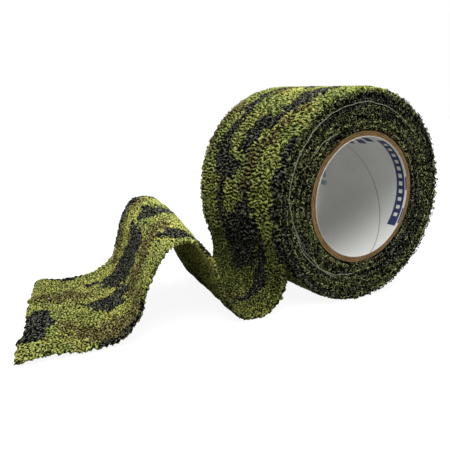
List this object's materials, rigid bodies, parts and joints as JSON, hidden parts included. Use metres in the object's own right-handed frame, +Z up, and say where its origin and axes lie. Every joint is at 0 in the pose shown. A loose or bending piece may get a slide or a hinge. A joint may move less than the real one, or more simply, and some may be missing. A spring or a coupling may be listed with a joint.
{
  "type": "self-clinging fabric wrap roll",
  "caption": "Roll of elastic crepe camouflage wrap on a paperboard core, with its free end paid out in a wave on the floor",
  "frame": {"origin": "the middle of the core's bore, on the roll's axis and halfway along the strip's width", "axes": "+Y along the roll's axis away from the printed side, +Z up from the floor that the roll and the free end rest on, -X towards the free end"},
  "size_m": [0.155, 0.0511, 0.0746],
  "materials": {
    "liner_paper": "matt white paper",
    "kraft_board": "matt kraft board",
    "adhesive": "clear amber adhesive",
    "wrap_fabric": "crinkled elastic crepe, printed in yellow-green, brown and black",
    "elastic_yarn": "pale fine elastic yarn"
  },
  "bodies": {
    "roll": {"core_liner": "liner_paper", "core_ply_inner": "kraft_board", "core_ply_middle": "kraft_board", "core_ply_outer": "kraft_board", "starter_strip": "adhesive", "wound_strip": "wrap_fabric", "outer_turn": "wrap_fabric", "loose_yarn_outer": "elastic_yarn", "loose_yarn_middle": "elastic_yarn", "loose_yarn_inner": "elastic_yarn"},
    "drop": {"tail_drop": "wrap_fabric"},
    "rise": {"tail_rise": "wrap_fabric"},
    "fall": {"tail_fall": "wrap_fabric"},
    "end": {"tail_end": "wrap_fabric"}
  },
  "joints": [
    {"name": "peel_bend", "type": "hinge", "parent": "roll", "child": "drop", "pos_m": [-0.03398, 0, -0.01602], "axis": [0, 1, 0], "range_deg": [0, 35]},
    {"name": "trough_bend", "type": "hinge", "parent": "drop", "child": "rise", "pos_m": [-0.04138, -0.00019, -0.0365], "axis": [0.1219, 0.9925, 0], "range_deg": [0, 10]},
    {"name": "crest_bend", "type": "hinge", "parent": "rise", "child": "fall", "pos_m": [-0.06424, -0.00038, -0.00619], "axis": [0.1473, 0.9853, 0.0872], "range_deg": [0, 60]},
    {"name": "foot_bend", "type": "hinge", "parent": "fall", "child": "end", "pos_m": [-0.08589, -0.00027, -0.03311], "axis": [0.1215, 0.9895, 0.0785], "range_deg": [0, 45]}
  ]
}
